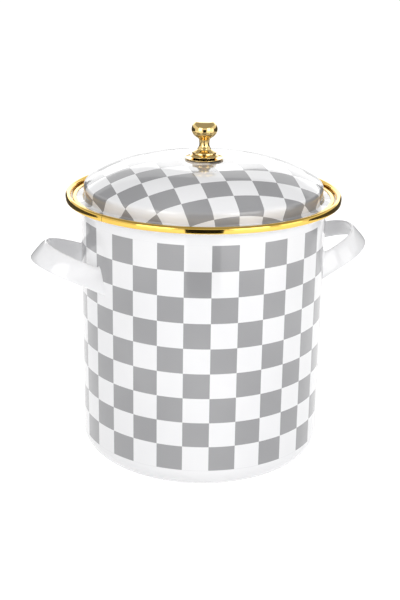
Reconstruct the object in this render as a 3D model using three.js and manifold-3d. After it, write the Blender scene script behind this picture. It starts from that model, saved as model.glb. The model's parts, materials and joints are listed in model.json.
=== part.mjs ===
// Water bath canner: enamelled pot with a gilt rim, domed lid with a brass knob,
// two strap handles, and a lift-out wire jar rack with two folding bails.
// Millimetres, +Z up. The origin is the middle of the pot's base, the handles lie along X.
import * as THREE from 'three';
import { mergeVertices } from 'three/addons/utils/BufferGeometryUtils.js';
import Module from 'manifold-3d';

const wasm = await Module();
wasm.setup();

// ---- driving dimensions -------------------------------------------------
const gap = 0.3;               // clearance between pieces that touch
const segments = 56;           // facets round every large turned piece

// pot
const potRadius = 140;         // outside of the straight wall
const potWall = 1.5;           // steel and enamel together
const potCorner = 22.5;        // outside radius where wall meets base
const seatHeight = 300;        // top of the shelf that the lid rests on
const flareRadius = 8;         // underside of the bend from wall to shelf
const shelfWidth = 4.4;        // flat of the shelf, outside the bend
const lipCorner = 2;           // outside of the bend from shelf to lip
const lipHeight = 6;           // lip above the shelf

// gilt channel rolled over the pot's lip
const rimWall = 1.6;
const rimCrown = 3.1;          // radius of the rounded top
const rimSkirt = 0.9;          // how far the outer edge stops above the shelf
const rimSeam = 0.5;           // butt joint where the strip's ends meet
const rimSeamAngle = 211;      // degrees from +X
const rimBulge = 0.7;          // outer side stands this much prouder than the wall needs
const rimBendDrop = 1;         // the rounded top starts this far below the lip's edge
const bandBevel = 0.8;         // broken edges of both gilt bands

// strap handles
const handleThickness = 3.4;
const handleWidth = 25;
const handleReach = 67.5;      // along the tilted loop, from its weld line
const handleHalfSpan = 54;     // half the distance between the two welds
const handleHeight = 226;      // weld line above the base
const handleTilt = 21;         // degrees that the loop rises outwards
const handleLean = 0.3;        // slope of the strap in towards the middle of its loop
const handleEdge = 1.3;        // rounded edges of the strap

// lid
const lidWall = 1.5;
const lidPlay = 2.2;           // between the lid's edge and the rim channel
const lidSideInset = 2.3;      // lid's side stands this far inside the pot's bore
const lidSideHeight = 9.3;
const lidFillet = 2.5;         // outside, where side meets flange
const lidCorner = 6;           // side to shoulder
const shoulderRadius = 162;
const crownRadius = 1760;      // the nearly flat middle of the dome
const crownExtent = 53;        // its outer edge
const lidBandWall = 0.6;
const lidBandHeight = 3.9;
const lidBandWidth = 4;

// knob
const knobBall = 14.9;
const knobBallHalf = 11.5;     // half the ball's height, before its top is cut flat
const knobFlat = 9.9;          // radius of the flat top
const knobFoot = 13.9;
const knobNeck = 5.8;
const knobHeight = 36.5;       // from its foot to its flat top
const collarRadius = 16.2;
const collarHeight = 4.4;
const plateRadius = 22;
const plateWall = 0.8;
const plateCurl = 1.1;
const screwRadius = 2.5;
const screwHeadRadius = 4.6;
const screwHeadHeight = 2.8;
const screwSlot = 1;
const screwGrip = 12;          // length inside the knob
const washerRadius = 8;
const washerWall = 1.2;
const gasketRadius = 10;
const gasketWall = 1;

// jar rack
const rackRadius = 126;        // centre line of both hoops
const rackFloor = 14;          // centre of the lower hoop above the base
const rackTop = 130;           // centre of the upper hoop above the base
const hoopWire = 2.5;          // wire radii
const barWire = 2;
const floorWire = 1.5;
const postWire = 2;
const dividerWire = 1.8;
const bailWire = 1.9;
const pitchesToPost = 2.5;     // the first post stands midway between two floor wires
const barOffset = 45;
const posts = 6;
const postStart = 30;          // degrees of the first post
const dividerHeight = 72;
const dividerCorner = 9;
const bailHalfSpan = 53.5;
const bailMeet = 10;           // folded bails stop this far from the middle
const bailCorner = 18;
const eyeWire = 1.5;
const eyeClearance = 1.8;      // between eye and hoop wire

// ---- materials ----------------------------------------------------------
const paint = (color, roughness, metalness) =>
  new THREE.MeshStandardMaterial({ color, roughness, metalness });
const whiteEnamel = paint(0xf2f1f0, 0.18, 0);
const greyEnamel = paint(0xcfc6c4, 0.2, 0);
const gilt = paint(0xe0b44a, 0.18, 1);
const brass = paint(0xd9b765, 0.16, 1);
const steel = paint(0xb9bcc0, 0.28, 1);
const silicone = paint(0xdad6ce, 0.7, 0);

// ---- helpers ------------------------------------------------------------
const canner = new THREE.Group();
const rad = THREE.MathUtils.degToRad;
const point = (r, z) => new THREE.Vector2(r, z);

// points along an arc about (r, z), from one angle to the other in degrees
function arc(r, z, radius, from, to, steps) {
  const points = [];
  for (let i = 0; i <= steps; i += 1) {
    const angle = rad(from + ((to - from) * i) / steps);
    points.push(point(r + radius * Math.cos(angle), z + radius * Math.sin(angle)));
  }
  return points;
}

// bare, merged geometry whose faces point outwards
function closed(geometry) {
  const bare = geometry.clone();
  bare.deleteAttribute('normal');
  bare.deleteAttribute('uv');
  const merged = mergeVertices(bare, 1e-4);
  const at = merged.getAttribute('position');
  const kept = [];
  const [a, b, c] = [new THREE.Vector3(), new THREE.Vector3(), new THREE.Vector3()];
  let volume = 0;
  for (let i = 0; i < merged.index.count; i += 3) {
    const corners = [0, 1, 2].map((k) => merged.index.getX(i + k));
    if (new Set(corners).size < 3) continue;
    a.fromBufferAttribute(at, corners[0]);
    b.fromBufferAttribute(at, corners[1]);
    c.fromBufferAttribute(at, corners[2]);
    volume += a.dot(b.cross(c));
    kept.push(...corners);
  }
  if (volume < 0) kept.reverse();
  merged.setIndex(kept);
  return merged;
}

function toSolid(geometry) {
  const mesh = closed(geometry);
  return new wasm.Manifold(new wasm.Mesh({
    numProp: 3,
    vertProperties: new Float32Array(mesh.getAttribute('position').array),
    triVerts: new Uint32Array(mesh.index.array),
  }));
}

function toGeometry(solid) {
  const mesh = solid.getMesh();
  const geometry = new THREE.BufferGeometry();
  geometry.setAttribute('position', new THREE.BufferAttribute(mesh.vertProperties, 3));
  geometry.setIndex(new THREE.BufferAttribute(mesh.triVerts, 1));
  return geometry;
}

// a profile of (radius, height) turned about Z
function turned(profile, facets = segments) {
  return closed(new THREE.LatheGeometry(profile, facets).rotateX(Math.PI / 2));
}

const ringProfile = (points) => [...points, points[0].clone()];

function hoop(radius, z, wire, sides = 8, facets = 48) {
  return turned(ringProfile(arc(radius, z, wire, 0, 360 - 360 / sides, sides - 1)), facets);
}

// round wire along a 3-D curve
function wireAlong(curve, wire, steps, sides = 8) {
  const section = new THREE.Shape(arc(0, 0, wire, 0, 360 - 360 / sides, sides - 1));
  return closed(new THREE.ExtrudeGeometry(section, { steps, extrudePath: curve }));
}

function straightWire(from, to, wire, sides = 8) {
  const along = new THREE.Vector3().subVectors(to, from);
  const geometry = new THREE.CylinderGeometry(wire, wire, along.length(), sides);
  const turn = new THREE.Quaternion().setFromUnitVectors(
    new THREE.Vector3(0, 1, 0), along.clone().normalize());
  geometry.applyQuaternion(turn);
  geometry.translate(...new THREE.Vector3().addVectors(from, to).multiplyScalar(0.5));
  return closed(geometry);
}

function add(name, geometry, material) {
  geometry.computeVertexNormals();
  const mesh = new THREE.Mesh(geometry, material);
  mesh.name = name;
  canner.add(mesh);
  return mesh;
}

// ---- pot ----------------------------------------------------------------
const potBore = potRadius - potWall;
const flareStart = seatHeight - potWall - flareRadius;
const shelfInner = potRadius + flareRadius;
const lipCentre = shelfInner + shelfWidth;
const lipOuter = lipCentre + lipCorner;
const lipInner = lipOuter - potWall;
const lipTop = seatHeight + lipHeight;
const lipBend = seatHeight - potWall + lipCorner;

add('pot_shell', turned([
  point(0, 0),
  ...arc(potRadius - potCorner, potCorner, potCorner, -90, 0, 5),
  ...arc(potRadius + flareRadius, flareStart, flareRadius, 180, 90, 3),
  ...arc(lipCentre, lipBend, lipCorner, -90, 0, 2),
  point(lipOuter, lipTop),
  point(lipInner, lipTop),
  ...arc(lipCentre, lipBend, lipCorner - potWall, 0, -90, 2),
  ...arc(potRadius + flareRadius, flareStart, flareRadius + potWall, 90, 180, 3),
  ...arc(potRadius - potCorner, potCorner, potCorner - potWall, 0, -90, 5),
  point(0, potWall),
]), whiteEnamel);

const slotInner = lipInner - gap;
const slotOuter = lipOuter + gap;
const rimOuter = slotOuter + rimWall + rimBulge;
const rimCentre = rimOuter - rimCrown;
const rimInner = rimCentre - rimCrown;
const rimBend = lipTop - rimBendDrop;
const rimTop = rimBend + rimCrown;

function rimBand() {
  const ring = toSolid(turned(ringProfile([
    point(slotOuter, seatHeight + rimSkirt),
    point(rimOuter - bandBevel, seatHeight + rimSkirt),
    point(rimOuter, seatHeight + rimSkirt + bandBevel),
    ...arc(rimCentre, rimBend, rimCrown, 0, 180, 6),
    point(rimInner, seatHeight + 2 * gap),
    point(slotInner, seatHeight + 2 * gap),
    point(slotInner, lipTop + gap),
    point(slotOuter, lipTop + gap),
  ])));
  const cutter = new THREE.BoxGeometry(6 * rimCrown, rimSeam, 6 * lipHeight);
  cutter.translate(rimCentre, 0, lipTop);
  cutter.rotateZ(rad(rimSeamAngle));
  return toGeometry(ring.subtract(toSolid(cutter)));
}
add('pot_rim_band', rimBand(), gilt);

// a bent strap whose upper edge leans in, cut to fit the wall; side is +1 or -1 along X
function handle(side) {
  const weldX = Math.sqrt(potRadius ** 2 - handleHalfSpan ** 2);
  const inner = handleHalfSpan - handleThickness;
  const tail = 12;               // runs on into the wall before it is cut to it
  const outline = new THREE.Shape();
  outline.moveTo(-tail, -handleHalfSpan);
  outline.lineTo(0, -handleHalfSpan);
  outline.absellipse(0, 0, handleReach, handleHalfSpan, -Math.PI / 2, Math.PI / 2);
  outline.lineTo(-tail, handleHalfSpan);
  outline.lineTo(-tail, inner);
  outline.lineTo(0, inner);
  outline.absellipse(0, 0, handleReach - handleThickness, inner, Math.PI / 2, -Math.PI / 2, true);
  outline.lineTo(-tail, -inner);
  const strap = new THREE.ExtrudeGeometry(outline, {
    depth: handleWidth - 2 * handleEdge,
    bevelThickness: handleEdge,
    bevelSize: handleEdge,
    bevelOffset: -handleEdge,
    bevelSegments: 1,
    curveSegments: 14,
  });
  strap.translate(0, 0, -handleWidth / 2 + handleEdge);
  const place = strap.getAttribute('position');
  for (let i = 0; i < place.count; i += 1) {
    const scale = 1 - (handleLean * place.getZ(i)) / handleHalfSpan;
    place.setXY(i, scale * place.getX(i), scale * place.getY(i));
  }
  strap.rotateY(-rad(handleTilt));
  strap.translate(weldX, 0, handleHeight);
  const wall = new THREE.CylinderGeometry(potRadius + gap, potRadius + gap, seatHeight, 96);
  wall.rotateX(Math.PI / 2);
  wall.translate(0, 0, seatHeight / 2);
  const fitted = toGeometry(toSolid(strap).subtract(toSolid(wall)));
  if (side < 0) fitted.rotateZ(Math.PI);
  return fitted;
}
add('handle_right', handle(1), whiteEnamel);
add('handle_left', handle(-1), whiteEnamel);

// ---- lid ----------------------------------------------------------------
const lidBandOuter = rimInner - lidPlay;
const lidBandBottom = seatHeight + gap;
const flangeOuter = lidBandOuter - lidBandWall - gap;
const flangeBottom = lidBandBottom + (lidBandHeight - lidWall) / 2;
const flangeTop = flangeBottom + lidWall;
const lidSide = potBore - lidSideInset;
const sideTop = flangeTop + lidFillet + lidSideHeight;

// three arcs that meet smoothly: side corner, shoulder, crown
const crownAngle = Math.asin(crownExtent / crownRadius);
const shoulderAngle = Math.asin(
  (lidSide - lidCorner - (crownRadius - shoulderRadius) * Math.sin(crownAngle))
  / (shoulderRadius - lidCorner));
const shoulderCentre = point(
  (crownRadius - shoulderRadius) * Math.sin(crownAngle),
  sideTop - (shoulderRadius - lidCorner) * Math.cos(shoulderAngle));
const crownCentreZ = shoulderCentre.y - (crownRadius - shoulderRadius) * Math.cos(crownAngle);
const lidApex = crownCentreZ + crownRadius;

// dome profile from the side up to a small hole, inset from the outside by a wall
function domeProfile(inset, holeRadius) {
  const corner = 90 - THREE.MathUtils.radToDeg(shoulderAngle);
  const shoulder = 90 - THREE.MathUtils.radToDeg(crownAngle);
  const crown = crownRadius - inset;
  const holeAngle = THREE.MathUtils.radToDeg(Math.acos(holeRadius / crown));
  return [
    ...arc(lidSide - lidCorner, sideTop, lidCorner - inset, 0, corner, 3),
    ...arc(shoulderCentre.x, shoulderCentre.y, shoulderRadius - inset, corner, shoulder, 6).slice(1),
    ...arc(0, crownCentreZ, crown, shoulder, holeAngle, 2).slice(1),
  ];
}

const screwHole = screwRadius + gap;
add('lid_shell', turned(ringProfile([
  point(flangeOuter, flangeBottom),
  point(flangeOuter, flangeTop),
  ...arc(lidSide + lidFillet, flangeTop + lidFillet, lidFillet, 270, 180, 3),
  ...domeProfile(0, screwHole),
  ...domeProfile(lidWall, screwHole).reverse(),
  ...arc(lidSide + lidFillet, flangeTop + lidFillet, lidFillet + lidWall, 180, 270, 3),
])), greyEnamel);

add('lid_rim_band', turned(ringProfile([
  point(lidBandOuter - bandBevel, lidBandBottom),
  point(lidBandOuter, lidBandBottom + bandBevel),
  point(lidBandOuter, lidBandBottom + lidBandHeight - bandBevel),
  point(lidBandOuter - bandBevel, lidBandBottom + lidBandHeight),
  point(lidBandOuter - lidBandWidth, lidBandBottom + lidBandHeight),
  point(lidBandOuter - lidBandWidth, flangeTop + gap),
  point(flangeOuter + gap, flangeTop + gap),
  point(flangeOuter + gap, flangeBottom - gap),
  point(lidBandOuter - lidBandWidth, flangeBottom - gap),
  point(lidBandOuter - lidBandWidth, lidBandBottom),
])), gilt);

// ---- knob, from the lid's crown up --------------------------------------
const knobFacets = 28;
const plateBottom = lidApex + gap;
const collarBottom = plateBottom + plateWall + gap;
const collarTop = collarBottom + collarHeight;
const knobBottom = collarTop + gap;
const knobTop = knobBottom + knobHeight;

add('knob_plate', turned(ringProfile([
  point(screwHole, plateBottom),
  point(collarRadius, plateBottom),
  point(plateRadius - 1.2, plateBottom + plateCurl / 2),
  point(plateRadius, plateBottom + plateCurl),
  point(plateRadius - 0.6, plateBottom + plateCurl + 0.7),
  point(plateRadius - 1.8, plateBottom + plateCurl / 2 + plateWall),
  point(collarRadius - 0.2, plateBottom + plateWall),
  point(screwHole, plateBottom + plateWall),
]), knobFacets), brass);

add('knob_collar', turned(ringProfile([
  point(screwHole, collarBottom),
  point(collarRadius - 3.4, collarBottom),
  point(collarRadius - 0.4, collarBottom + 0.4 * collarHeight),
  point(collarRadius, collarBottom + 0.5 * collarHeight),
  point(collarRadius - 0.4, collarBottom + 0.6 * collarHeight),
  point(collarRadius - 2.2, collarTop),
  point(screwHole, collarTop),
]), knobFacets), brass);

// turned silhouette: flat-topped ball, waisted neck, spreading foot
function knob() {
  const z = (share) => knobBottom + share * knobHeight;
  const flatAngle = Math.acos(knobFlat / knobBall);
  const ballCentre = knobTop - knobBallHalf * Math.sin(flatAngle);
  const ball = arc(0, 0, 1, THREE.MathUtils.radToDeg(flatAngle), -56, 8)
    .map((unit) => point(knobBall * unit.x, ballCentre + knobBallHalf * unit.y));
  const neck = new THREE.SplineCurve([
    ball.at(-1),
    point(knobNeck * 1.16, z(0.46)),
    point(knobNeck * 1.03, z(0.39)),
    point(knobNeck, z(0.28)),
    point(knobNeck * 1.22, z(0.19)),
    point(knobFoot * 0.6, z(0.13)),
    point(knobFoot * 0.82, z(0.085)),
    point(knobFoot, z(0.06)),
  ]);
  return turned([
    point(0, knobTop),
    ...ball,
    ...neck.getPoints(8).slice(1),
    point(knobFoot, z(0.015)),
    point(knobFoot - 0.5, knobBottom),
    point(screwHole, knobBottom),
    point(screwHole, knobBottom + screwGrip),
    point(0, knobBottom + screwGrip),
  ], knobFacets);
}
add('knob', knob(), brass);

// under the crown: silicone washer, steel washer, slotted screw
const gasketTop = lidApex - lidWall - gap;
const washerTop = gasketTop - gasketWall - gap;
const headTop = washerTop - washerWall - gap;
const headBottom = headTop - screwHeadHeight;

const washer = (radius, top, wall) => turned(ringProfile([
  point(screwHole, top - wall),
  point(radius, top - wall),
  point(radius, top),
  point(screwHole, top),
]), knobFacets);
add('knob_gasket', washer(gasketRadius, gasketTop, gasketWall), silicone);
add('knob_washer', washer(washerRadius, washerTop, washerWall), steel);

function screw() {
  const body = toSolid(turned([
    point(0, headBottom),
    point(screwHeadRadius - 1.2, headBottom),
    point(screwHeadRadius, headBottom + 1.2),
    point(screwHeadRadius, headTop),
    point(screwRadius, headTop),
    point(screwRadius, knobBottom + screwGrip - 1),
    point(0, knobBottom + screwGrip - 1),
  ], 24));
  const slot = new THREE.BoxGeometry(4 * screwHeadRadius, screwSlot, 2 * screwSlot);
  slot.translate(0, 0, headBottom);
  return toGeometry(body.subtract(toSolid(slot)));
}
add('knob_screw', screw(), steel);

// ---- jar rack -----------------------------------------------------------
const at = (x, y, z) => new THREE.Vector3(x, y, z);
const wireLevel = rackFloor + hoopWire + gap + floorWire;
const barLevel = wireLevel - floorWire - gap - barWire;
const wireTop = wireLevel + floorWire;

add('rack_base_hoop', hoop(rackRadius, rackFloor, hoopWire), steel);
add('rack_top_hoop', hoop(rackRadius, rackTop, hoopWire), steel);

const postRadius = rackRadius - hoopWire - 2 * gap - postWire;
const floorPitch = (postRadius * Math.sin(rad(postStart))) / pitchesToPost;
const wiresEachSide = Math.floor((rackRadius - 4 * hoopWire) / floorPitch);
for (let i = 0; i <= 2 * wiresEachSide; i += 1) {
  const y = (i - wiresEachSide) * floorPitch;
  const reach = Math.sqrt(rackRadius ** 2 - y ** 2);
  add(`rack_floor_wire_${i + 1}`, straightWire(at(-reach, y, wireLevel), at(reach, y, wireLevel),
    floorWire), steel);
}

for (const [index, x] of [-barOffset, barOffset].entries()) {
  const inside = rackRadius - hoopWire - 2 * gap;
  const reach = Math.sqrt(inside ** 2 - (barOffset + barWire) ** 2);
  add(`rack_bar_${index + 1}`, straightWire(at(x, -reach, barLevel), at(x, reach, barLevel),
    barWire), steel);
}

// posts stand inside both hoops, and their lower ends are the rack's feet
const cornerIn = potCorner - potWall;
const footReach = Math.max(0, postRadius + postWire - (potRadius - potCorner));
const footLevel = potCorner - Math.sqrt(cornerIn ** 2 - footReach ** 2) + gap;
for (let i = 0; i < posts; i += 1) {
  const angle = rad(postStart + (360 / posts) * i);
  const x = postRadius * Math.cos(angle);
  const y = postRadius * Math.sin(angle);
  add(`rack_post_${i + 1}`, straightWire(at(x, y, footLevel), at(x, y, rackTop + hoopWire),
    postWire), steel);
}

// a path of straight runs with rounded corners
function roundedPath(points, radius) {
  const path = new THREE.CurvePath();
  let last = points[0];
  for (let i = 1; i < points.length - 1; i += 1) {
    const back = new THREE.Vector3().subVectors(points[i - 1], points[i]).setLength(radius);
    const ahead = new THREE.Vector3().subVectors(points[i + 1], points[i]).setLength(radius);
    const start = points[i].clone().add(back);
    const end = points[i].clone().add(ahead);
    path.add(new THREE.LineCurve3(last, start));
    path.add(new THREE.QuadraticBezierCurve3(start, points[i], end));
    last = end;
  }
  path.add(new THREE.LineCurve3(last, points.at(-1)));
  return path;
}

// hairpins on the diagonals part the jars; their legs stand over the floor wires
const dividerFoot = wireTop + gap;
const dividerTop = dividerFoot + dividerHeight;
const near = floorPitch;
const far = 3 * floorPitch;
for (let i = 0; i < 4; i += 1) {
  const path = roundedPath([
    at(near, near, dividerFoot),
    at(near, near, dividerTop),
    at(far, far, dividerTop),
    at(far, far, dividerFoot),
  ], dividerCorner);
  const divider = wireAlong(path, dividerWire, 26, 6);
  divider.rotateZ((Math.PI / 2) * i);
  add(`rack_divider_${i + 1}`, divider, steel);
}

// bails: an eye round the top hoop at each end, joined by a U of wire
const bailPivotX = Math.sqrt(rackRadius ** 2 - bailHalfSpan ** 2);
const eyeRadius = hoopWire + eyeClearance + eyeWire;
function bail(side) {
  const start = bailPivotX - eyeRadius;
  const end = bailMeet;
  let solid = toSolid(wireAlong(roundedPath([
    at(start, -bailHalfSpan, rackTop),
    at(end, -bailHalfSpan, rackTop),
    at(end, bailHalfSpan, rackTop),
    at(start, bailHalfSpan, rackTop),
  ], bailCorner), bailWire, 30, 6));
  for (const y of [-bailHalfSpan, bailHalfSpan]) {
    const eye = hoop(eyeRadius, 0, eyeWire, 6, 16);
    eye.rotateX(Math.PI / 2);
    eye.translate(bailPivotX, y, rackTop);
    solid = solid.add(toSolid(eye));
  }
  const geometry = toGeometry(solid);
  if (side < 0) geometry.rotateZ(Math.PI);
  return geometry;
}
add('rack_bail_right', bail(1), steel);
add('rack_bail_left', bail(-1), steel);

export default canner;
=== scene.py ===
"""Looks of the enamelled water bath canner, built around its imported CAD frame. Metres, +Z up."""
import json
import math

import bmesh
import bpy
from mathutils import Matrix, Vector

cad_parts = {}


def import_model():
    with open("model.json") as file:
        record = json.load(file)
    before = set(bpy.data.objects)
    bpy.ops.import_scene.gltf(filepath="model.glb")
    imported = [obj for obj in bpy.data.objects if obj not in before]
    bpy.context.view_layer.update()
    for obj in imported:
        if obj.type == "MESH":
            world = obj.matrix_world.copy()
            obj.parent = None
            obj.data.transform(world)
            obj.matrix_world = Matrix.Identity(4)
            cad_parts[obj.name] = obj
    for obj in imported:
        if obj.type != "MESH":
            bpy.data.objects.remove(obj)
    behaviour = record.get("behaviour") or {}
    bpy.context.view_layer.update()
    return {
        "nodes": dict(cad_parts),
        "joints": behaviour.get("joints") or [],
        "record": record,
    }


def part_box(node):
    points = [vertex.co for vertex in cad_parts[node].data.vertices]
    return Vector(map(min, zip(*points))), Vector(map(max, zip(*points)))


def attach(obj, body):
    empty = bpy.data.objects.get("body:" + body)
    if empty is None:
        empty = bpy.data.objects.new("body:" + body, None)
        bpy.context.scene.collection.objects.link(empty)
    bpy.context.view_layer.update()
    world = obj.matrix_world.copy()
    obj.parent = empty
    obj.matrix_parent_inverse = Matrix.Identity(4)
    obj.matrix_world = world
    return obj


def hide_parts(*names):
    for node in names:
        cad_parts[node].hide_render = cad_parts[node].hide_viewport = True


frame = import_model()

MM = 0.001
GAP = 0.3 * MM                    # clearance that the CAD keeps between touching pieces
ROUND = 192                       # facets round a large turned piece

# sizes that the frame's boxes don't give, as the CAD has them
WALL = 1.5 * MM
POT_CORNER = 22.5 * MM
FLARE = 8 * MM
SHELF = 4.4 * MM
LIP_CORNER = 2 * MM
RIM_CROWN = 3.1 * MM
LID_FILLET = 2.5 * MM
LID_SIDE_HEIGHT = 9.3 * MM
LID_CORNER = 6 * MM
LID_INSET = 2.3 * MM
SHOULDER_RADIUS = 162 * MM
CROWN_RADIUS = 1760 * MM
CROWN_EXTENT = 53 * MM
SCREW_HOLE = 2.8 * MM
BAIL_MEET = 10 * MM
SEAM_ANGLE = 211                  # degrees from +X
SEAM_WIDTH = 0.5 * MM

# check pattern
COLUMNS = 30                      # an even number, so that the check meets itself
ROWS = 9
CHECK_TOP = 284 * MM
CHECK_BOTTOM = 24 * MM
LID_CELL = 29 * MM

CAMERA_TURN = -16                 # degrees about Z from looking straight along +Y


# ---- mesh helpers ---------------------------------------------------------
def arc(r, z, radius, start, end, steps):
    """Points (r, z) along an arc, angles in degrees."""
    angles = [math.radians(start + (end - start) * i / steps) for i in range(steps + 1)]
    return [(r + radius * math.cos(a), z + radius * math.sin(a)) for a in angles]


def finish_mesh(name, bm, sharp=35):
    """A smooth-shaded object from a bmesh, with creases sharper than an angle kept."""
    bmesh.ops.recalc_face_normals(bm, faces=bm.faces)
    mesh = bpy.data.meshes.new(name)
    bm.to_mesh(mesh)
    bm.free()
    mesh.shade_smooth()
    mesh.set_sharp_from_angle(angle=math.radians(sharp))
    obj = bpy.data.objects.new(name, mesh)
    bpy.context.scene.collection.objects.link(obj)
    return obj


def turned(name, profile, facets=ROUND, closed=False, gap=None, sharp=35):
    """A profile of (r, z) turned about Z. gap is (angle, width) of a butt joint in a ring."""
    bm = bmesh.new()
    if gap:
        centre, width = math.radians(gap[0]), gap[1] / max(r for r, z in profile)
        angles = [centre + width / 2 + (math.tau - width) * i / facets for i in range(facets + 1)]
    else:
        angles = [math.tau * i / facets for i in range(facets)]
    rings = []
    for r, z in profile:
        if r < 1e-7:
            rings.append([bm.verts.new((0, 0, z))] * len(angles))
        else:
            rings.append([bm.verts.new((r * math.cos(a), r * math.sin(a), z)) for a in angles])
    count = len(angles)
    pairs = list(zip(rings, rings[1:]))
    if closed:
        pairs.append((rings[-1], rings[0]))
    for low, high in pairs:
        for i in range(count - 1 if gap else count):
            j = (i + 1) % count
            corners = dict.fromkeys((low[i], low[j], high[j], high[i]))
            if len(corners) > 2:
                bm.faces.new(list(corners))
    if gap:
        bm.faces.new([ring[0] for ring in rings])
        bm.faces.new([ring[-1] for ring in rings])
    return finish_mesh(name, bm, sharp)


def bridge(bm, low, high):
    """Quads between two rings of as many vertices."""
    for i in range(len(low)):
        j = (i + 1) % len(low)
        bm.faces.new((low[i], low[j], high[j], high[i]))


def tube(name, points, radius, sides=16, closed=False):
    """A round wire through points, with domed ends where it isn't a loop."""
    bm = bmesh.new()
    points = [Vector(p) for p in points]
    last = len(points) - 1
    normal = None
    rings = []
    for i, p in enumerate(points):
        before = points[i - 1] if i or closed else p
        after = points[(i + 1) % len(points)] if i < last or closed else p
        ahead = (after - before).normalized()
        if normal is None:
            normal = ahead.orthogonal().normalized()
        normal = (normal - ahead * normal.dot(ahead)).normalized()
        side = ahead.cross(normal)
        shares = [(0, 1)]
        if not closed and i in (0, last):
            way = -1 if i == 0 else 1
            domes = [(way * math.sin(math.radians(a)), math.cos(math.radians(a))) for a in (30, 60, 80)]
            shares = domes[::-1] + shares if i == 0 else shares + domes
        for along, size in shares:
            back = 0 if closed else radius * (i == last) - radius * (i == 0)
            centre = p + ahead * (along * radius - back)
            turns = [math.tau * k / sides for k in range(sides)]
            rings.append([bm.verts.new(centre + (normal * math.cos(t) + side * math.sin(t)) * radius * size)
                          for t in turns])
    for low, high in zip(rings, rings[1:]):
        bridge(bm, low, high)
    if closed:
        bridge(bm, rings[-1], rings[0])
    else:
        bm.faces.new(rings[0])
        bm.faces.new(rings[-1])
    return finish_mesh(name, bm, sharp=60)


def rounded(points, radius, steps=8):
    """A path of straight runs with its corners rounded off."""
    points = [Vector(p) for p in points]
    path = [points[0]]
    for a, b, c in zip(points, points[1:], points[2:]):
        start = b + (a - b).normalized() * radius
        end = b + (c - b).normalized() * radius
        for i in range(steps + 1):
            t = i / steps
            path.append(start * (1 - t) ** 2 + b * 2 * t * (1 - t) + end * t ** 2)
    path.append(points[-1])
    return path


def dress(obj, node, body, material):
    """The piece stands for a CAD node, rides on its body and wears a material."""
    obj.data.materials.clear()
    obj.data.materials.append(material)
    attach(obj, body)
    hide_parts(node)
    return obj


# ---- materials --------------------------------------------------------------
class Nodes:
    """Short calls for building a material's node tree."""

    def __init__(self, name):
        self.material = bpy.data.materials.new(name)
        self.material.use_nodes = True
        self.tree = self.material.node_tree
        self.shader = self.tree.nodes["Principled BSDF"]

    def add(self, kind, **settings):
        node = self.tree.nodes.new(kind)
        for key, value in settings.items():
            setattr(node, key, value)
        return node

    def link(self, source, target):
        self.tree.links.new(source, target)

    def feed(self, socket, value):
        if isinstance(value, bpy.types.NodeSocket):
            self.link(value, socket)
        else:
            socket.default_value = value

    def math(self, operation, *values, clamp=False):
        node = self.add("ShaderNodeMath", operation=operation, use_clamp=clamp)
        for socket, value in zip(node.inputs, values):
            self.feed(socket, value)
        return node.outputs[0]

    def join(self, x, y, z=0.0):
        node = self.add("ShaderNodeCombineXYZ")
        for socket, value in zip(node.inputs, (x, y, z)):
            self.feed(socket, value)
        return node.outputs[0]

    def split(self, vector):
        node = self.add("ShaderNodeSeparateXYZ")
        self.link(vector, node.inputs[0])
        return node.outputs

    def object_place(self):
        return self.add("ShaderNodeTexCoord").outputs["Object"]

    def noise(self, vector, scale, detail=3.0, roughness=0.5, distortion=0.0):
        node = self.add("ShaderNodeTexNoise")
        self.feed(node.inputs["Vector"], vector)
        self.feed(node.inputs["Scale"], scale)
        self.feed(node.inputs["Detail"], detail)
        self.feed(node.inputs["Roughness"], roughness)
        self.feed(node.inputs["Distortion"], distortion)
        return node.outputs["Fac"]

    def ramp(self, value, low, high, to_low=0.0, to_high=1.0, smooth=True):
        node = self.add("ShaderNodeMapRange", clamp=True)
        if smooth:
            node.interpolation_type = "SMOOTHSTEP"
        self.feed(node.inputs["Value"], value)
        for key, number in (("From Min", low), ("From Max", high), ("To Min", to_low), ("To Max", to_high)):
            self.feed(node.inputs[key], number)
        return node.outputs["Result"]

    def mix(self, share, a, b):
        node = self.add("ShaderNodeMix", data_type="RGBA")
        self.feed(node.inputs[0], share)
        self.feed(node.inputs[6], (*a, 1) if isinstance(a, tuple) else a)
        self.feed(node.inputs[7], (*b, 1) if isinstance(b, tuple) else b)
        return node.outputs[2]

    def bump(self, height, strength, distance):
        node = self.add("ShaderNodeBump")
        node.inputs["Strength"].default_value = strength
        node.inputs["Distance"].default_value = distance
        self.link(height, node.inputs["Height"])
        self.link(node.outputs[0], self.shader.inputs["Normal"])

    def set(self, **values):
        for key, value in values.items():
            name = key.replace("_", " ")
            self.feed(self.shader.inputs[name], (*value, 1) if isinstance(value, tuple) else value)


ENAMEL_WHITE = (0.905, 0.905, 0.915)
ENAMEL_SHADE = (0.875, 0.875, 0.89)


def enamel_base(nodes, place):
    """Uneven gloss and faint ripple of fired enamel. Returns its white."""
    drift = nodes.noise(place, 9.0, 2.0)
    ripple = nodes.noise(place, 38.0, 2.0, 0.4)
    white = nodes.mix(nodes.ramp(drift, 0.3, 0.7), ENAMEL_WHITE, ENAMEL_SHADE)
    nodes.set(Roughness=nodes.ramp(ripple, 0.3, 0.7, 0.09, 0.14))
    nodes.bump(ripple, 0.12, 0.0012)
    nodes.shader.inputs["Coat Weight"].default_value = 0.35
    nodes.shader.inputs["Coat Roughness"].default_value = 0.04
    return white


def plain_enamel():
    nodes = Nodes("white_enamel")
    nodes.set(Base_Color=enamel_base(nodes, nodes.object_place()))
    return nodes.material


CHECK_GREY = (0.36, 0.36, 0.37)
CHECK_GREY_DEEP = (0.32, 0.32, 0.33)


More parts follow.
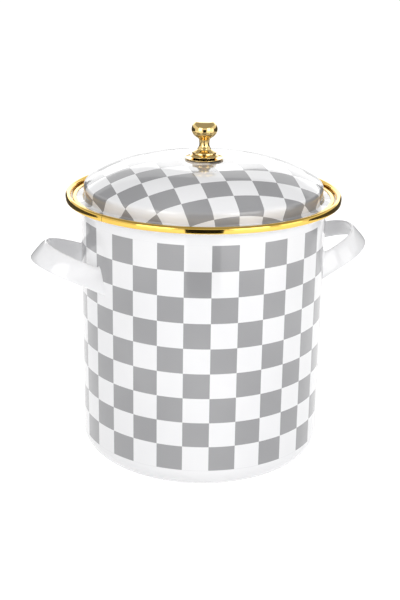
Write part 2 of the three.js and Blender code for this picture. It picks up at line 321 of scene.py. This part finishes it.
def plain_check(nodes, place, u, v, inside):
    """Share and colour of the grey enamel in an even checkerboard whose lines are whole u and v."""
    column, row = nodes.math("FLOOR", u), nodes.math("FLOOR", v)
    parity = nodes.math("FLOORED_MODULO", nodes.math("ADD", column, row), 2.0)
    drift = nodes.noise(place, 9.0, 2.0)
    colour = nodes.mix(nodes.ramp(drift, 0.3, 0.7), CHECK_GREY, CHECK_GREY_DEEP)
    return nodes.math("MULTIPLY", parity, inside), colour


def pot_enamel(wall_radius):
    """White enamel with an even grey check on the straight wall, outside only."""
    nodes = Nodes("pot_enamel_check")
    place = nodes.object_place()
    white = enamel_base(nodes, place)
    x, y, z = nodes.split(place)
    angle = nodes.math("ARCTAN2", x, nodes.math("MULTIPLY", y, -1.0))
    turns = nodes.math("FLOORED_MODULO", nodes.math("DIVIDE", angle, math.tau), 1.0)
    u = nodes.math("MULTIPLY", turns, float(COLUMNS))
    v = nodes.math("DIVIDE", nodes.math("SUBTRACT", CHECK_TOP, z), (CHECK_TOP - CHECK_BOTTOM) / ROWS)
    radius = nodes.math("SQRT", nodes.math("ADD", nodes.math("MULTIPLY", x, x), nodes.math("MULTIPLY", y, y)))
    outside = nodes.math("GREATER_THAN", radius, wall_radius - 4 * MM)
    skin = nodes.add("ShaderNodeAttribute", attribute_name="outer")
    outside = nodes.math("MULTIPLY", outside, skin.outputs["Fac"])
    below = nodes.ramp(z, CHECK_TOP + 0.2 * MM, CHECK_TOP - 0.4 * MM)
    above = nodes.ramp(z, CHECK_BOTTOM - 0.4 * MM, CHECK_BOTTOM + 0.4 * MM)
    inside = nodes.math("MULTIPLY", nodes.math("MULTIPLY", below, above), outside)
    share, colour = plain_check(nodes, place, u, v, inside)
    nodes.set(Base_Color=nodes.mix(share, white, colour))
    return nodes.material


def lid_enamel():
    """White enamel with the check laid square over the dome, outside only."""
    nodes = Nodes("lid_enamel_check")
    place = nodes.object_place()
    white = enamel_base(nodes, place)
    drape = nodes.add("ShaderNodeAttribute", attribute_name="drape").outputs["Vector"]
    x, y, painted = nodes.split(drape)
    inside = nodes.math("GREATER_THAN", painted, 0.5)
    u, v = nodes.math("DIVIDE", x, LID_CELL), nodes.math("DIVIDE", y, LID_CELL)
    share, colour = plain_check(nodes, place, u, v, inside)
    nodes.set(Base_Color=nodes.mix(share, white, colour))
    return nodes.material


def metal(name, colour, worn, low, high, scale=60.0, bump=0.05):
    """Polished metal with faint wiping marks in its colour and gloss."""
    nodes = Nodes(name)
    place = nodes.object_place()
    wipe = nodes.noise(nodes.join(*nodes.split(place)[:2], 0.0), scale, 3.0, 0.5)
    cloud = nodes.noise(place, scale * 0.3, 3.0, 0.6)
    nodes.set(Base_Color=nodes.mix(nodes.ramp(cloud, 0.3, 0.7), colour, worn))
    nodes.set(Roughness=nodes.ramp(wipe, 0.25, 0.75, low, high))
    nodes.shader.inputs["Metallic"].default_value = 1.0
    nodes.bump(cloud, bump, 0.0005)
    return nodes.material


def silicone():
    nodes = Nodes("silicone")
    grain = nodes.noise(nodes.object_place(), 900.0, 2.0)
    nodes.set(Base_Color=nodes.mix(grain, (0.6, 0.58, 0.54), (0.68, 0.66, 0.62)))
    nodes.set(Roughness=nodes.ramp(grain, 0.3, 0.7, 0.5, 0.65))
    nodes.bump(grain, 0.2, 0.0002)
    return nodes.material


GILT = metal("gilt_band", (0.83, 0.56, 0.13), (0.76, 0.48, 0.10), 0.05, 0.09)
BRASS = metal("knob_brass", (0.82, 0.61, 0.27), (0.74, 0.53, 0.21), 0.04, 0.08, 120.0)
WIRE = metal("rack_plating", (0.72, 0.73, 0.75), (0.60, 0.61, 0.63), 0.12, 0.22, 90.0)
STEEL = metal("screw_steel", (0.56, 0.57, 0.58), (0.48, 0.49, 0.5), 0.25, 0.38, 200.0)
WHITE = plain_enamel()


# ---- pot --------------------------------------------------------------------
shell_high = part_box("pot_shell")[1]
lip_outer, lip_top = shell_high.x, shell_high.z
wall_radius = lip_outer - LIP_CORNER - SHELF - FLARE
seat = lip_top - 6 * MM
flare_start = seat - WALL - FLARE


def pot_shell():
    lip_centre, lip_bend = lip_outer - LIP_CORNER, seat - WALL + LIP_CORNER
    flare_centre = wall_radius + FLARE
    corner = wall_radius - POT_CORNER
    outer = [(0, 0), (corner * 0.5, 0), (corner - 3 * MM, 0)]
    outer += arc(corner, POT_CORNER, POT_CORNER, -90, 0, 20)
    wall = [(wall_radius, POT_CORNER + (flare_start - POT_CORNER) * i / 12) for i in range(1, 12)]
    outer += wall
    outer += arc(flare_centre, flare_start, FLARE, 180, 90, 12)
    outer += arc(lip_centre, lip_bend, LIP_CORNER, -90, 0, 6)
    outer += [(lip_outer, lip_top - 0.3 * MM), (lip_outer - 0.3 * MM, lip_top)]
    inner = [(lip_outer - WALL + 0.3 * MM, lip_top), (lip_outer - WALL, lip_top - 0.3 * MM)]
    inner += arc(lip_centre, lip_bend, LIP_CORNER - WALL, 0, -90, 4)
    inner += arc(flare_centre, flare_start, FLARE + WALL, 90, 180, 12)
    inner += arc(corner, POT_CORNER, POT_CORNER - WALL, 0, -90, 20)
    inner += [(corner - 3 * MM, WALL), (corner * 0.5, WALL), (0, WALL)]
    obj = turned("pot_shell_look", outer + inner)
    outside = obj.data.attributes.new("outer", "FLOAT", "POINT")
    for i, vertex in enumerate(obj.data.vertices):
        outside.data[i].value = float(vertex.co.to_2d().length > wall_radius - WALL / 2)
    return dress(obj, "pot_shell", "pot", pot_enamel(wall_radius))


def pot_rim_band():
    low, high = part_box("pot_rim_band")
    rim, top = high.x, high.z
    centre, bend = rim - RIM_CROWN, top - RIM_CROWN
    slot_in, slot_out = lip_outer - WALL - GAP, lip_outer + GAP
    skirt = seat + 0.9 * MM
    profile = [(slot_out, skirt)]
    profile += arc(rim - 0.9 * MM, skirt + 0.9 * MM, 0.9 * MM, -90, 0, 5)
    profile += [(rim, bend - 0.6 * MM)]
    profile += arc(centre, bend, RIM_CROWN, 0, 180, 24)
    profile += [(centre - RIM_CROWN, seat + 2 * GAP), (slot_in, seat + 2 * GAP)]
    profile += [(slot_in, lip_top + GAP), (slot_out, lip_top + GAP)]
    obj = turned("pot_rim_band_look", profile, 256, closed=True, gap=(SEAM_ANGLE, SEAM_WIDTH))
    return dress(obj, "pot_rim_band", "pot", GILT)


# ---- handles ------------------------------------------------------------------
HANDLE_TILT = math.radians(21)
HANDLE_HALF_SPAN = 54 * MM
HANDLE_REACH = 67.5 * MM
HANDLE_LEAN = 0.3                # slope of the strap in towards the middle of its loop
HANDLE_HEIGHT = 226 * MM
HANDLE_WIDTH = 24.4 * MM
HANDLE_THICKNESS = 4.2 * MM
WELD_SPREAD = 0.2                 # how much wider the strap is where it meets the wall
WELD_LENGTH = 16 * MM


def strap_section(width, thickness, count=28):
    """A flat oval, fuller on its outer side, as (across, out) pairs."""
    points = []
    for i in range(count):
        t = math.tau * i / count
        c, s = math.cos(t), math.sin(t)
        across = width / 2 * math.copysign(abs(c) ** 0.55, c)
        out = thickness / 2 * math.copysign(abs(s) ** (0.9 if s > 0 else 0.6), s)
        points.append((across, out))
    return points


def handle(node, side):
    """An enamelled strap bent to a D and welded to the wall. side is +1 or -1 along X."""
    span = HANDLE_HALF_SPAN - HANDLE_THICKNESS / 2
    reach = HANDLE_REACH - HANDLE_THICKNESS / 2
    weld_x = math.sqrt(wall_radius ** 2 - HANDLE_HALF_SPAN ** 2)
    cos, sin = math.cos(HANDLE_TILT), math.sin(HANDLE_TILT)
    skin = wall_radius - 0.4 * MM
    steps = 72
    start = math.degrees(math.asin(9 * MM / reach))
    bm = bmesh.new()
    rings = []
    for i in range(-1, steps + 2):
        at_wall = i in (-1, steps + 1)
        step = min(max(i, 0), steps)
        t = math.radians(-90 + start + (180 - 2 * start) * step / steps)
        out, along = reach * math.cos(t), span * math.sin(t)
        normal = Vector((math.cos(t) / reach, math.sin(t) / span)).normalized()
        if at_wall:
            along, normal = math.copysign(span, t), Vector((0, math.copysign(1, t)))
        near = 1 - min(out / WELD_LENGTH, 1) if not at_wall else 1
        spread = 1 + WELD_SPREAD * near ** 2
        ring = []
        for across, thick in strap_section(HANDLE_WIDTH * spread, HANDLE_THICKNESS * (1 + 0.6 * near ** 2)):
            scale = 1 - HANDLE_LEAN * across / HANDLE_HALF_SPAN
            v = scale * (along + normal.y * thick)
            s = scale * (out + normal.x * thick)
            if at_wall:
                s = (math.sqrt(skin ** 2 - v ** 2) - weld_x + across * sin) / cos
            x = weld_x + s * cos - across * sin
            z = HANDLE_HEIGHT + s * sin + across * cos
            ring.append(bm.verts.new((side * x, side * v, z)))
        rings.append(ring)
    for low, high in zip(rings, rings[1:]):
        bridge(bm, low, high)
    bm.faces.new(rings[0])
    bm.faces.new(rings[-1])
    obj = finish_mesh(node + "_look", bm, sharp=70)
    return dress(obj, node, "pot", WHITE)


# ---- lid --------------------------------------------------------------------
def lid_sizes():
    low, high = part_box("lid_shell")
    side = wall_radius - WALL - LID_INSET
    flange_bottom = low.z
    side_top = flange_bottom + WALL + LID_FILLET + LID_SIDE_HEIGHT
    crown_angle = math.asin(CROWN_EXTENT / CROWN_RADIUS)
    drop = (CROWN_RADIUS - SHOULDER_RADIUS) * math.sin(crown_angle)
    shoulder_angle = math.asin((side - LID_CORNER - drop) / (SHOULDER_RADIUS - LID_CORNER))
    shoulder_z = side_top - (SHOULDER_RADIUS - LID_CORNER) * math.cos(shoulder_angle)
    crown_z = shoulder_z - (CROWN_RADIUS - SHOULDER_RADIUS) * math.cos(crown_angle)
    return high.x, flange_bottom, side, side_top, crown_angle, shoulder_angle, drop, shoulder_z, crown_z


def dome(inset):
    """The dome from its side up to the knob's hole, set in by a wall."""
    _, _, side, side_top, crown_angle, shoulder_angle, drop, shoulder_z, crown_z = lid_sizes()
    corner, shoulder = 90 - math.degrees(shoulder_angle), 90 - math.degrees(crown_angle)
    crown = CROWN_RADIUS - inset
    points = arc(side - LID_CORNER, side_top, LID_CORNER - inset, 0, corner, 10)
    points += arc(drop, shoulder_z, SHOULDER_RADIUS - inset, corner, shoulder, 32)[1:]
    points += arc(0, crown_z, crown, shoulder, math.degrees(math.acos(SCREW_HOLE / crown)), 12)[1:]
    return points


def lid_shell():
    edge, bottom, side = lid_sizes()[:3]
    top = bottom + WALL
    outer = [(edge, bottom), (edge, top)]
    outer += arc(side + LID_FILLET, top + LID_FILLET, LID_FILLET, 270, 180, 8)
    outer += dome(0)
    inner = dome(WALL)[::-1]
    inner += arc(side + LID_FILLET, top + LID_FILLET, LID_FILLET + WALL, 180, 270, 8)
    obj = turned("lid_shell_look", outer + inner, closed=True)

    # distance along the outer skin from its middle, for a pattern laid over the dome
    lengths = {}
    travelled = 0.0
    previous = (0.0, dome(0)[-1][1])
    for r, z in outer[1:][::-1]:
        travelled += math.hypot(r - previous[0], z - previous[1])
        lengths[round(r / MM, 3), round(z / MM, 3)] = travelled
        previous = (r, z)
    drape = obj.data.attributes.new("drape", "FLOAT_VECTOR", "POINT")
    for i, vertex in enumerate(obj.data.vertices):
        r = vertex.co.to_2d().length
        length = lengths.get((round(r / MM, 3), round(vertex.co.z / MM, 3)))
        if length is None:
            drape.data[i].vector = (0, 0, 0)
        else:
            drape.data[i].vector = (vertex.co.x / r * length, vertex.co.y / r * length, 1)
    return dress(obj, "lid_shell", "lid", lid_enamel())


def lid_rim_band():
    low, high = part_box("lid_rim_band")
    outer, bottom, top = high.x, low.z, high.z
    flange_edge, flange_bottom = lid_sizes()[:2]
    flange_top = flange_bottom + WALL
    inner = outer - 4 * MM
    slot = flange_edge + GAP
    profile = arc(outer - 0.8 * MM, bottom + 0.8 * MM, 0.8 * MM, -90, 0, 5)
    profile += arc(outer - 0.9 * MM, top - 0.9 * MM, 0.9 * MM, 0, 90, 6)
    profile += [(inner + 0.2 * MM, top), (inner, top - 0.2 * MM), (inner, flange_top + GAP)]
    profile += [(slot, flange_top + GAP), (slot, flange_bottom - GAP), (inner, flange_bottom - GAP)]
    profile += [(inner, bottom)]
    obj = turned("lid_rim_band_look", profile, 256, closed=True)
    return dress(obj, "lid_rim_band", "lid", GILT)


# ---- knob -------------------------------------------------------------------
def smooth_profile(points, steps=6):
    """Points along a Catmull-Rom curve through (r, z) points."""
    padded = [points[0], *points, points[-1]]
    path = []
    for a, b, c, d in zip(padded, padded[1:], padded[2:], padded[3:]):
        for i in range(steps):
            t = i / steps
            path.append(tuple(0.5 * (2 * b[k] + (c[k] - a[k]) * t
                                     + (2 * a[k] - 5 * b[k] + 4 * c[k] - d[k]) * t ** 2
                                     + (3 * b[k] - a[k] - 3 * c[k] + d[k]) * t ** 3) for k in (0, 1)))
    path.append(points[-1])
    return path


KNOB_FOOT = 13.9 * MM
KNOB_NECK = 5.8 * MM
KNOB_FLAT = 9.9 * MM               # radius of the ball's flat top
KNOB_BALL_HALF = 11.5 * MM         # half the ball's height before the flat
COLLAR_RADIUS = 16.2 * MM


def knob():
    low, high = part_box("knob")
    ball, height = high.x, high.z - low.z
    foot, neck = KNOB_FOOT, KNOB_NECK
    flat = math.acos(KNOB_FLAT / ball)
    centre = high.z - KNOB_BALL_HALF * math.sin(flat)
    circle = arc(0, 0, 1, math.degrees(flat) - 4, -56, 30)
    sphere = [(ball * x, centre + KNOB_BALL_HALF * y) for x, y in circle]
    outline = [(1.16 * neck, 0.46), (1.03 * neck, 0.39), (neck, 0.28), (1.22 * neck, 0.19),
               (0.6 * foot, 0.13), (0.82 * foot, 0.085), (0.985 * foot, 0.062)]
    profile = [(0, high.z), (0.6 * ball, high.z), (0.645 * ball, high.z - 0.12 * MM)] + sphere[:-1]
    profile += smooth_profile([sphere[-1]] + [(r, low.z + share * height) for r, share in outline])
    profile += [(foot, low.z + 0.05 * height), (foot, low.z + 0.015 * height), (foot - 0.5 * MM, low.z)]
    profile += [(SCREW_HOLE, low.z), (SCREW_HOLE, low.z + 12 * MM), (0, low.z + 12 * MM)]
    return dress(turned("knob_look", profile, 96), "knob", "lid", BRASS)


def knob_collar():
    low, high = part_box("knob_collar")
    r, bottom, height = high.x, low.z, high.z - low.z
    profile = [(SCREW_HOLE, bottom), (r - 3.4 * MM, bottom)]
    profile += [(r - 0.5 * MM, bottom + 0.4 * height)]
    profile += arc(r - 0.4 * MM, bottom + 0.5 * height, 0.4 * MM, -60, 60, 6)
    profile += [(r - 2.2 * MM, bottom + 0.95 * height), (r - 2.6 * MM, high.z), (SCREW_HOLE, high.z)]
    obj = turned("knob_collar_look", profile, 96, closed=True)
    return dress(obj, "knob_collar", "lid", BRASS)


def knob_plate():
    low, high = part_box("knob_plate")
    r, bottom, wall = high.x, low.z, 0.8 * MM
    rise = high.z - low.z - wall
    curl = [(COLLAR_RADIUS, 0.0), (18.8 * MM, 0.18), (20.7 * MM, 0.55), (r - 0.2 * MM, 1.0)]
    under = smooth_profile([(x, bottom + share * rise) for x, share in curl])
    over = [(x - 0.25 * MM, z + wall) for x, z in under]
    profile = [(SCREW_HOLE, bottom)] + under
    profile += arc(r - 0.35 * MM, bottom + rise + 0.4 * MM, 0.35 * MM, -60, 60, 5)
    profile += over[::-1] + [(SCREW_HOLE, bottom + wall)]
    obj = turned("knob_plate_look", profile, 96, closed=True)
    return dress(obj, "knob_plate", "lid", BRASS)


def washer(node, material):
    low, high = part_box(node)
    bevel = 0.2 * MM
    profile = [(SCREW_HOLE, low.z), (high.x - bevel, low.z), (high.x, low.z + bevel)]
    profile += [(high.x, high.z - bevel), (high.x - bevel, high.z), (SCREW_HOLE, high.z)]
    return dress(turned(node + "_look", profile, 64, closed=True), node, "lid", material)


# ---- rack -------------------------------------------------------------------
def rack():
    for node in frame["record"]["behaviour"]["bodies"]["rack"]:
        low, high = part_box(node)
        middle, size = (low + high) / 2, high - low
        name = node + "_look"
        if node.endswith("hoop"):
            wire = size.z / 2
            ring = high.x - wire
            turns = [math.tau * i / 128 for i in range(128)]
            points = [(ring * math.cos(t), ring * math.sin(t), middle.z) for t in turns]
            obj = tube(name, points, wire, closed=True)
        elif "divider" in node:
            wire = 1.8 * MM
            near = Vector((math.copysign(1, middle.x), math.copysign(1, middle.y), 0))
            reach = max(abs(low.x), abs(high.x)) - wire / math.sqrt(2)
            inner = min(abs(low.x), abs(high.x)) + wire / math.sqrt(2)
            foot, top = Vector((0, 0, low.z)), Vector((0, 0, high.z - wire))
            corners = [near * inner + foot, near * inner + top, near * reach + top, near * reach + foot]
            obj = tube(name, rounded(corners, 9 * MM), wire)
        else:
            along = max(range(3), key=lambda k: size[k])
            wire = sorted(size)[0] / 2
            start, end = middle.copy(), middle.copy()
            start[along], end[along] = low[along], high[along]
            obj = tube(name, [start, start.lerp(end, 0.5), end], wire)
        dress(obj, node, "rack", WIRE)


def bail(node, body, side):
    low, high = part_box(node)
    eye_wire, wire = 1.5 * MM, 1.9 * MM
    pivot = frame_joint(body)
    height, half_span = pivot.z, 53.5 * MM
    eye = (high.z - low.z) / 2 - eye_wire
    far = side * BAIL_MEET
    start = side * (abs(pivot.x) - eye)
    turns = [math.tau * i / 40 for i in range(40)]
    path = rounded([(start, -half_span, height), (far, -half_span, height),
                    (far, half_span, height), (start, half_span, height)], 18 * MM, 12)
    obj = tube(node + "_look", path, wire)
    for y in (-half_span, half_span):
        ring = [(pivot.x + eye * math.cos(t), y, height + eye * math.sin(t)) for t in turns]
        part = tube(node + "_eye", ring, eye_wire, 12, closed=True)
        bm = bmesh.new()
        bm.from_mesh(obj.data)
        bm.from_mesh(part.data)
        bm.to_mesh(obj.data)
        bm.free()
        bpy.data.objects.remove(part)
    obj.data.shade_smooth()
    return dress(obj, node, body, WIRE)


def frame_joint(body):
    """Where the hinge of a body is."""
    return next(Vector(j["pos_m"]) for j in frame["joints"] if j["child"] == body)


# ---- floor, light and camera -------------------------------------------------
def screen_ray(nodes):
    """1 for camera, glossy and transmission rays, 0 for the rays that carry light."""
    path = nodes.add("ShaderNodeLightPath")
    rays = [path.outputs[name] for name in ("Is Camera Ray", "Is Glossy Ray", "Is Transmission Ray")]
    return nodes.math("MAXIMUM", nodes.math("MAXIMUM", rays[0], rays[1]), rays[2])


def floor():
    size = 30.0
    bpy.ops.mesh.primitive_plane_add(size=size, location=(0, 0, -0.0002))
    obj = bpy.context.object
    obj.name = "floor"
    nodes = Nodes("floor_white")
    nodes.set(Base_Color=(0.86, 0.86, 0.86))
    nodes.shader.inputs["Roughness"].default_value = 0.9
    nodes.shader.inputs["Specular IOR Level"].default_value = 0.0
    nodes.shader.inputs["Emission Color"].default_value = (1, 1, 1, 1)
    lift = nodes.math("MULTIPLY", screen_ray(nodes), FLOOR_LIFT)
    nodes.link(lift, nodes.shader.inputs["Emission Strength"])
    obj.data.materials.append(nodes.material)


def world():
    made = bpy.data.worlds.new("studio")
    bpy.context.scene.world = made
    made.use_nodes = True
    tree = made.node_tree
    tree.nodes.clear()
    nodes = Nodes.__new__(Nodes)
    nodes.tree = tree
    output = nodes.add("ShaderNodeOutputWorld")
    fill, screen = nodes.add("ShaderNodeBackground"), nodes.add("ShaderNodeBackground")
    fill.inputs[0].default_value = (1, 1, 1, 1)
    fill.inputs[1].default_value = WORLD_FILL
    screen.inputs[0].default_value = (1, 1, 1, 1)
    screen.inputs[1].default_value = 1.0
    mix = nodes.add("ShaderNodeMixShader")
    nodes.link(screen_ray(nodes), mix.inputs[0])
    nodes.link(fill.outputs[0], mix.inputs[1])
    nodes.link(screen.outputs[0], mix.inputs[2])
    nodes.link(mix.outputs[0], output.inputs[0])


def aim(obj, target):
    """Turns a lamp or card to face a point."""
    obj.rotation_euler = (Vector(target) - obj.location).to_track_quat("-Z", "Y").to_euler()


def from_camera(turn, distance, height):
    """A place round the pot, at an angle from the camera's own direction."""
    angle = math.radians(CAMERA_TURN + turn)
    return Vector((math.sin(angle) * distance, -math.cos(angle) * distance, height))


def softbox(name, turn, distance, height, width, tall, watts, target=(0, 0, 0.2)):
    light = bpy.data.lights.new(name, "AREA")
    light.shape = "RECTANGLE"
    light.size, light.size_y, light.energy = width, tall, watts
    obj = bpy.data.objects.new(name, light)
    bpy.context.scene.collection.objects.link(obj)
    obj.location = from_camera(turn, distance, height)
    obj.visible_camera = False
    aim(obj, target)


def card(name, turn, distance, bottom, width, tall, glow=0.0, level=False):
    """A studio card that only shows in reflections, black or glowing, upright or level."""
    middle = bottom if level else bottom + tall / 2
    bpy.ops.mesh.primitive_plane_add(size=1, location=from_camera(turn, distance, middle))
    obj = bpy.context.object
    obj.name = name
    obj.scale = (width, tall, 1)
    aim(obj, (0, 0, 0 if level else middle))
    nodes = Nodes("card_glow" if glow else "card_black")
    nodes.set(Base_Color=(0.01, 0.01, 0.01))
    nodes.shader.inputs["Roughness"].default_value = 1.0
    nodes.shader.inputs["Emission Color"].default_value = (1, 1, 1, 1)
    nodes.shader.inputs["Emission Strength"].default_value = glow
    obj.data.materials.append(nodes.material)
    obj.visible_camera = False
    obj.visible_diffuse = False
    obj.visible_shadow = False
    obj.visible_transmission = False


WORLD_FILL = 0.5
FLOOR_LIFT = 0.64


def lights():
    world()
    softbox("softbox_left", -38, 1.7, 0.75, 0.9, 1.3, 9.6)
    softbox("softbox_right", 38, 1.7, 0.75, 0.9, 1.3, 9.8)
    softbox("softbox_side", 72, 1.6, 0.5, 0.6, 0.8, 2.0)
    softbox("softbox_top", 180, 0.5, 1.9, 1.4, 0.8, 5.5)
    card("card_centre", 1, 0.8, 0.0, 0.40, 0.55)
    card("card_left", -122, 1.0, 0.0, 1.3, 0.55, glow=0.06)
    card("card_right", 122, 1.0, 0.0, 1.3, 0.55, glow=0.06)
    card("card_behind", 180, 1.8, 0.45, 3.0, 0.55, glow=2.2)
    card("card_low", 180, 1.8, 0.0, 0.5, 0.45, glow=1.0)
    card("card_above", 0, 0.02, 1.5, 3.4, 3.4, glow=0.42, level=True)


# camera found from the pot's own outline: distance, height and tilt of the photo's view
CAMERA_LENS = 71.9
CAMERA_PITCH = 19.16
CAMERA_ROLL = -0.88
CAMERA_PLACE = Vector((-2.2, -1332.5, 638.8)) * MM


def camera():
    data = bpy.data.cameras.new("camera")
    data.sensor_width = 36
    data.lens = CAMERA_LENS
    obj = bpy.data.objects.new("camera", data)
    bpy.context.scene.collection.objects.link(obj)
    pitch, roll = math.radians(CAMERA_PITCH), math.radians(CAMERA_ROLL)
    right, down = Vector((1, 0, 0)), Vector((0, -math.sin(pitch), -math.cos(pitch)))
    tilted = right * math.cos(roll) + down * math.sin(roll)
    below = down * math.cos(roll) - right * math.sin(roll)
    forward = Vector((0, math.cos(pitch), -math.sin(pitch)))
    axes = Matrix((tilted, -below, -forward)).transposed().to_4x4()
    turn = Matrix.Rotation(math.radians(CAMERA_TURN), 4, "Z")
    obj.matrix_world = turn @ Matrix.Translation(CAMERA_PLACE) @ axes
    bpy.context.scene.camera = obj


camera()
pot_shell()
pot_rim_band()
handle("handle_right", 1)
handle("handle_left", -1)
lid_shell()
lid_rim_band()
knob()
knob_collar()
knob_plate()
washer("knob_gasket", silicone())
washer("knob_washer", STEEL)
frame["nodes"]["knob_screw"].data.materials.clear()
frame["nodes"]["knob_screw"].data.materials.append(STEEL)
rack()
bail("rack_bail_right", "bail_right", 1)
bail("rack_bail_left", "bail_left", -1)
floor()
lights()
bpy.context.scene.view_settings.view_transform = "Standard"
